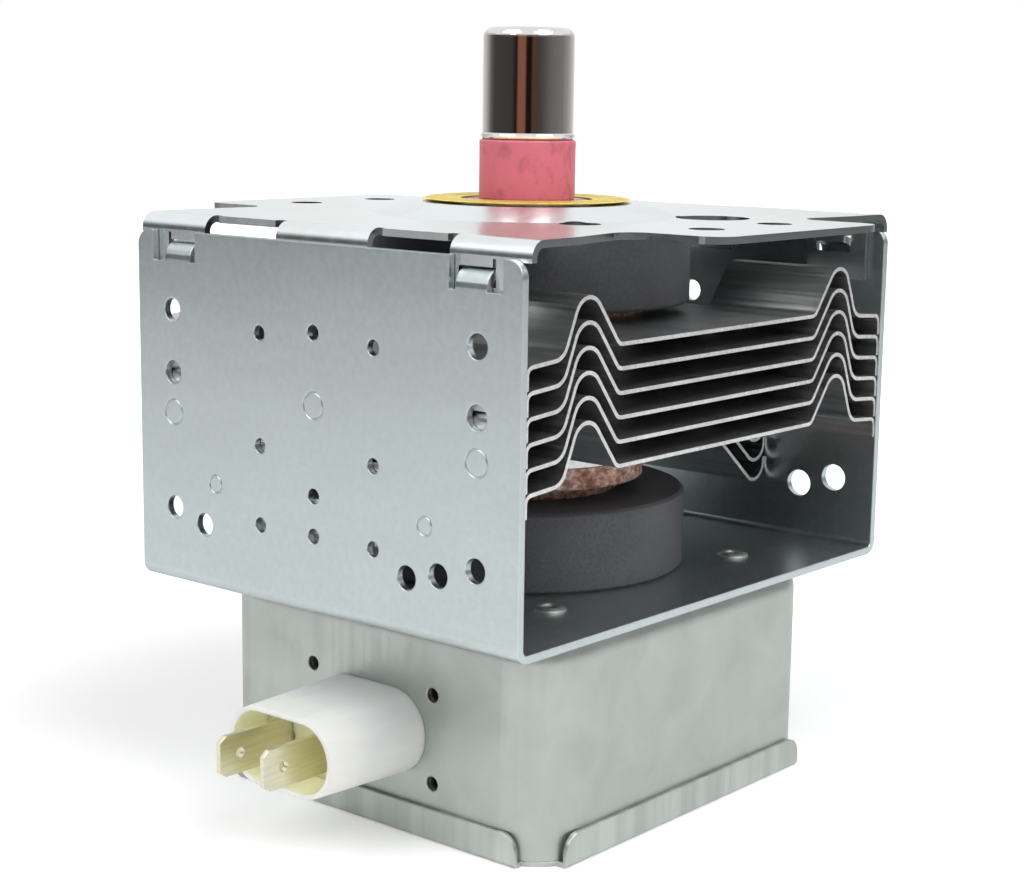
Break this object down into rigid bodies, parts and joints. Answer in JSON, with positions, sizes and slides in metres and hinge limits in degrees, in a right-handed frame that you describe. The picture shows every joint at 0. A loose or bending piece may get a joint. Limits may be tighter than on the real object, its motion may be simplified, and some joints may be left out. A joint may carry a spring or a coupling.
{
  "type": "magnetron",
  "caption": "Cooker magnetron: clinched steel yoke with ring magnets and slit fins round a copper anode, capped antenna above, filter box with a tab connector below.",
  "frame": {"origin": "antenna axis at the flat upper face of the mounting plate, the middle of its four holes", "axes": "+Z along the antenna, away from the filter box; -Y toward the connector; X along the fins"},
  "size_m": [0.1088, 0.1138, 0.1258],
  "materials": {
    "zinc_steel": "satin zinc plate",
    "bright_plate": "bright plated, smooth",
    "ferrite": "ground sintered ferrite",
    "fin_aluminium": "mill finish sheet",
    "copper": "bare copper",
    "pole_iron": "plated iron",
    "coppered_steel": "dark brazed copper flash",
    "pink_alumina": "glazed pink ceramic",
    "polished_cap": "polished",
    "brass_mesh": "woven wire",
    "tungsten": "carburised wire",
    "molybdenum": "bare metal",
    "pale_alumina": "bisque ceramic",
    "drawn_steel": "aluminised, drawn",
    "tinned_steel": "dull tin plate",
    "white_plastic": "satin moulding",
    "resin": "cast epoxy",
    "enamelled_wire": "enamelled copper"
  },
  "bodies": {
    "root": {"yoke_frame": "zinc_steel", "yoke_top_plate": "bright_plate", "upper_magnet": "ferrite", "lower_magnet": "ferrite", "cooling_fin_1": "fin_aluminium", "cooling_fin_2": "fin_aluminium", "cooling_fin_3": "fin_aluminium", "cooling_fin_4": "fin_aluminium", "cooling_fin_5": "fin_aluminium", "cooling_fin_6": "fin_aluminium", "anode_cylinder": "copper", "anode_vanes": "copper", "strap_rings": "copper", "upper_pole_piece": "pole_iron", "lower_pole_piece": "pole_iron", "upper_seal_shell": "coppered_steel", "lower_seal_shell": "coppered_steel", "antenna_lead": "copper", "antenna_insulator": "pink_alumina", "exhaust_tube": "copper", "antenna_cap": "polished_cap", "gasket_ring": "brass_mesh", "filament": "tungsten", "upper_end_hat": "molybdenum", "lower_end_hat": "molybdenum", "centre_lead": "molybdenum", "side_lead": "molybdenum", "stem_ceramic": "pale_alumina", "filter_box": "drawn_steel", "filter_box_lid": "drawn_steel", "capacitor_flange": "tinned_steel", "capacitor_ceramic": "pale_alumina", "capacitor_housing": "white_plastic", "capacitor_inner_case": "white_plastic", "potting_resin": "resin", "terminal_blades": "tinned_steel", "choke_coils": "enamelled_wire", "choke_leads": "enamelled_wire", "choke_cores": "ferrite"}
  },
  "joints": []
}
